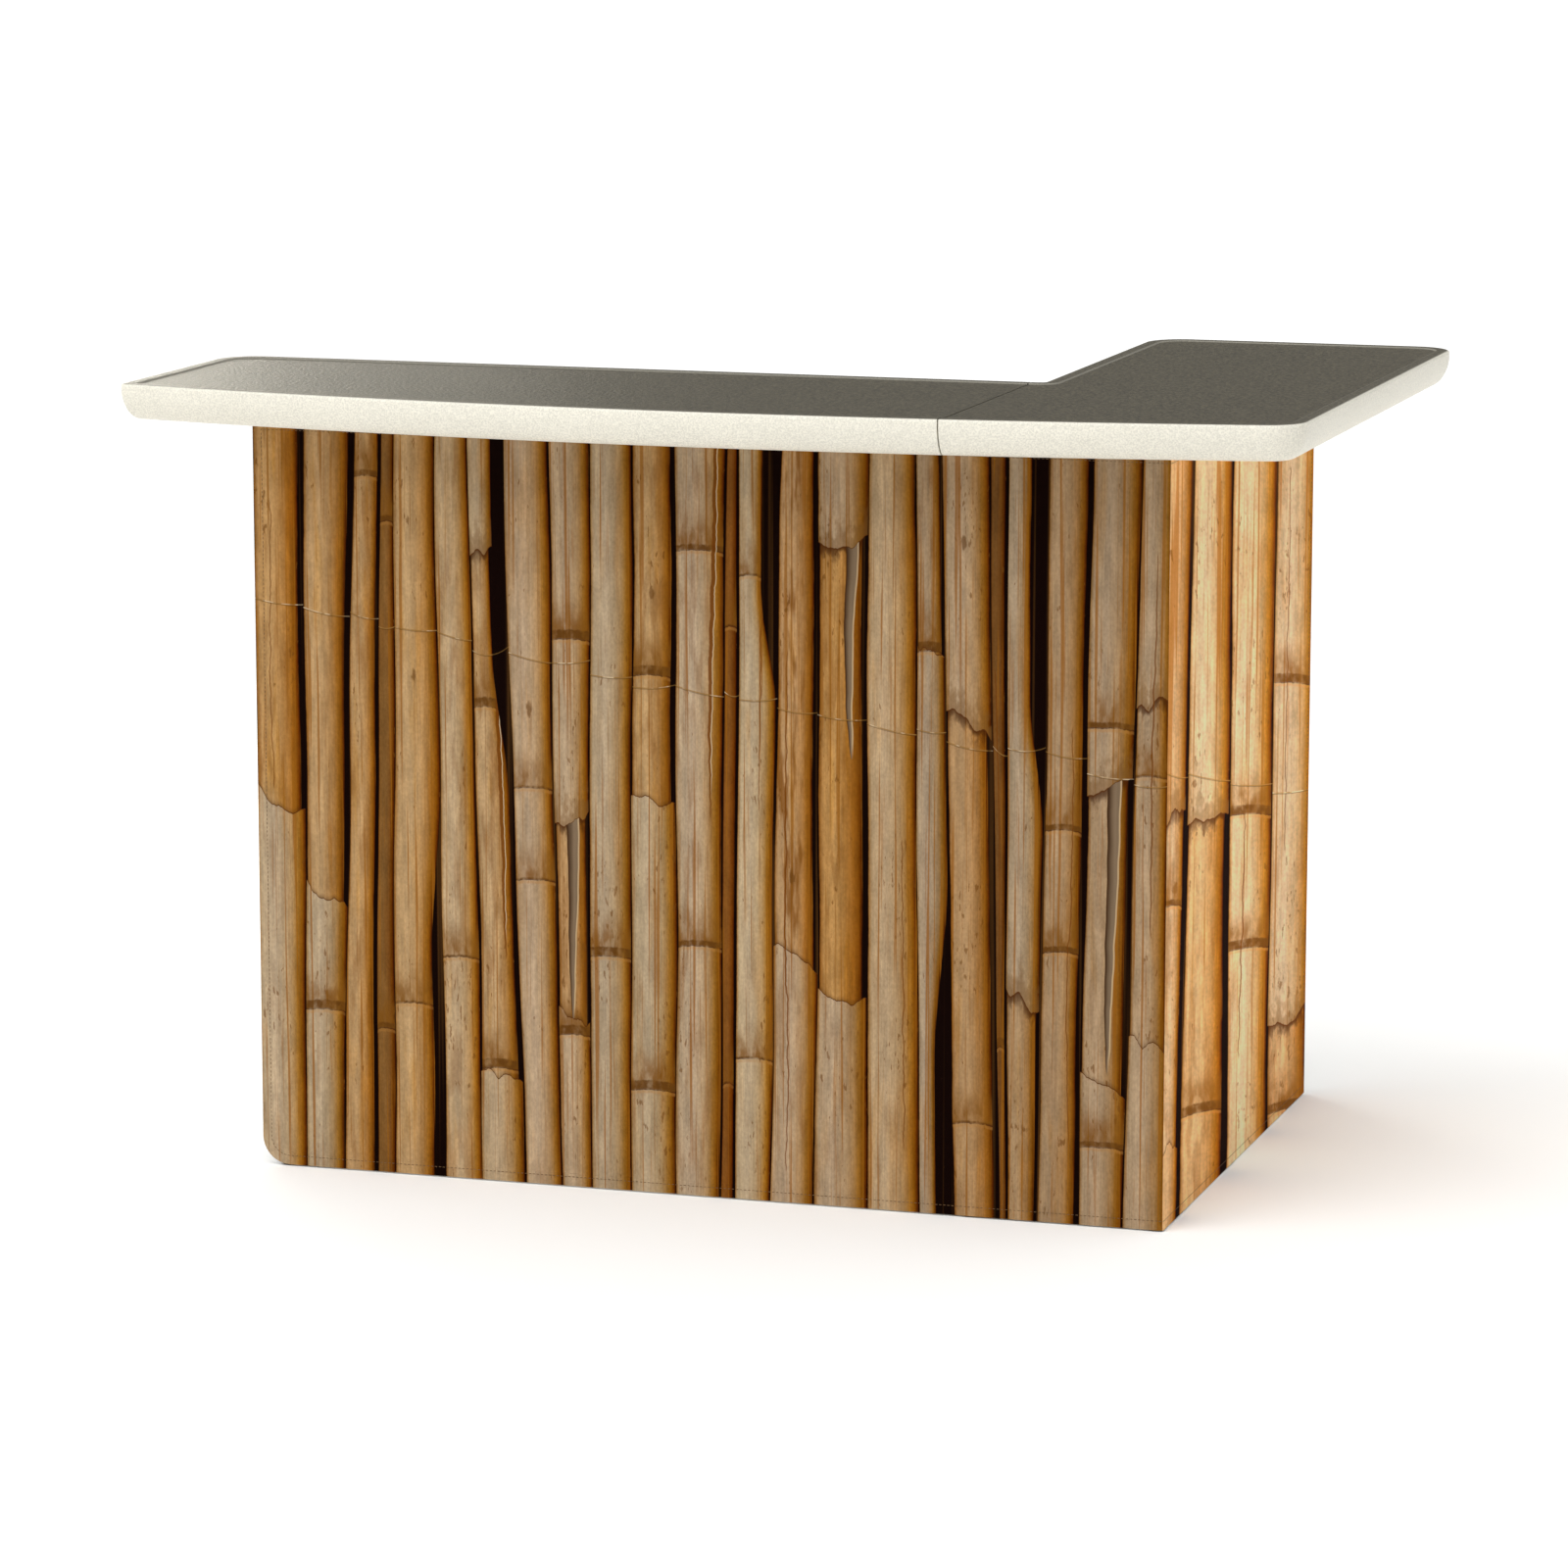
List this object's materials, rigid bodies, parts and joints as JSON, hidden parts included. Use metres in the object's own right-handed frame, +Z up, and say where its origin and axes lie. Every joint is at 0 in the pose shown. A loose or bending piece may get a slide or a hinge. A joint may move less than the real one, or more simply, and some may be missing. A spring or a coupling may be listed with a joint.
{
  "type": "portable patio bar",
  "caption": "L-shaped portable patio bar with two moulded counter tops on a folding tube frame wrapped in a cane-print fabric skin.",
  "frame": {"origin": "middle of the floor under the bar's whole footprint", "axes": "+X along the front towards the return, +Y from the guests' side to the server's side, +Z up"},
  "size_m": [1.597, 1.075, 1.067],
  "materials": {
    "counter_plastic": "fine grained, blow-moulded, cream rim with a warm grey field",
    "shelf_plastic": "fine grained, blow-moulded",
    "printed_skin": "flat printed cane pattern",
    "hook_tape": "black hook tape",
    "frame_coat": "satin powder coat",
    "zinc_steel": "bright zinc plate",
    "black_plastic": "moulded, matt"
  },
  "bodies": {
    "front_frame": {"corner_stub_post": "frame_coat", "corner_stub_spacers": "frame_coat", "counter_pegs_long": "zinc_steel", "counter_pegs_return": "zinc_steel", "front_glides": "black_plastic", "front_post_caps": "black_plastic", "front_post_left": "frame_coat", "front_post_right": "frame_coat", "front_post_seam": "frame_coat", "front_rails_bottom": "frame_coat", "front_rails_middle": "frame_coat", "front_rails_top": "frame_coat", "hook_tape_corner": "hook_tape", "hook_tape_front": "hook_tape", "shelf_hinge_pins": "zinc_steel", "shelf_hinge_rail_leaves": "zinc_steel", "side_hinge_fixed_leaves": "zinc_steel", "side_hinge_pins": "zinc_steel", "skin_corner": "printed_skin", "skin_front": "printed_skin", "sleeve_rivets_front": "zinc_steel", "wing_sleeves_left": "zinc_steel", "wing_sleeves_seam": "zinc_steel"},
    "side_frame": {"gate_sleeves": "zinc_steel", "hook_tape_side": "hook_tape", "side_glides": "black_plastic", "side_hinge_swing_knuckles": "zinc_steel", "side_post_caps": "black_plastic", "side_post_middle": "frame_coat", "side_post_near": "frame_coat", "side_post_rear": "frame_coat", "side_rails_bottom": "frame_coat", "side_rails_middle": "frame_coat", "side_rails_top": "frame_coat", "skin_side": "printed_skin", "sleeve_rivets_gate": "zinc_steel"},
    "rear_gate": {"gate_far_post": "frame_coat", "gate_glides": "black_plastic", "gate_pivot_post": "frame_coat", "gate_post_caps": "black_plastic", "gate_rails": "frame_coat"},
    "left_wing": {"left_wing_far_post": "frame_coat", "left_wing_glides": "black_plastic", "left_wing_pivot_post": "frame_coat", "left_wing_post_caps": "black_plastic", "left_wing_rails": "frame_coat", "left_wing_shelf_ledge": "zinc_steel"},
    "seam_wing": {"seam_wing_far_post": "frame_coat", "seam_wing_glides": "black_plastic", "seam_wing_pivot_post": "frame_coat", "seam_wing_post_caps": "black_plastic", "seam_wing_rails": "frame_coat", "seam_wing_shelf_ledge": "zinc_steel"},
    "shelf": {"shelf": "shelf_plastic", "shelf_hinge_shelf_leaves": "zinc_steel"},
    "counter_long": {"counter_long": "counter_plastic"},
    "counter_return": {"counter_return": "counter_plastic"}
  },
  "joints": [
    {"name": "side_fold", "type": "hinge", "parent": "front_frame", "child": "side_frame", "pos_m": [0.6053, -0.2523, 0.5], "axis": [0, 0, 1], "range_deg": [0, 90]},
    {"name": "gate_fold", "type": "hinge", "parent": "side_frame", "child": "rear_gate", "pos_m": [0.5698, 0.4498, 0.5], "axis": [0, 0, 1], "range_deg": [0, 90]},
    {"name": "left_wing_fold", "type": "hinge", "parent": "front_frame", "child": "left_wing", "pos_m": [-0.61, -0.3108, 0.5], "axis": [0, 0, -1], "range_deg": [0, 90]},
    {"name": "seam_wing_fold", "type": "hinge", "parent": "front_frame", "child": "seam_wing", "pos_m": [0.347, -0.3108, 0.5], "axis": [0, 0, 1], "range_deg": [0, 90]},
    {"name": "shelf_fold", "type": "hinge", "parent": "front_frame", "child": "shelf", "pos_m": [-0.1315, -0.3393, 0.5555], "axis": [1, 0, 0], "range_deg": [0, 90]},
    {"name": "counter_long_lift", "type": "slide", "parent": "front_frame", "child": "counter_long", "axis": [0, 0, 1], "range_m": [0, 0.12]},
    {"name": "counter_return_lift", "type": "slide", "parent": "front_frame", "child": "counter_return", "axis": [0, 0, 1], "range_m": [0, 0.12]}
  ],
  "couplings": [
    {"joint": "gate_fold", "follows": "side_fold", "ratio": 1},
    {"joint": "left_wing_fold", "follows": "side_fold", "ratio": 1},
    {"joint": "seam_wing_fold", "follows": "side_fold", "ratio": 1},
    {"joint": "shelf_fold", "follows": "side_fold", "ratio": 1}
  ]
}
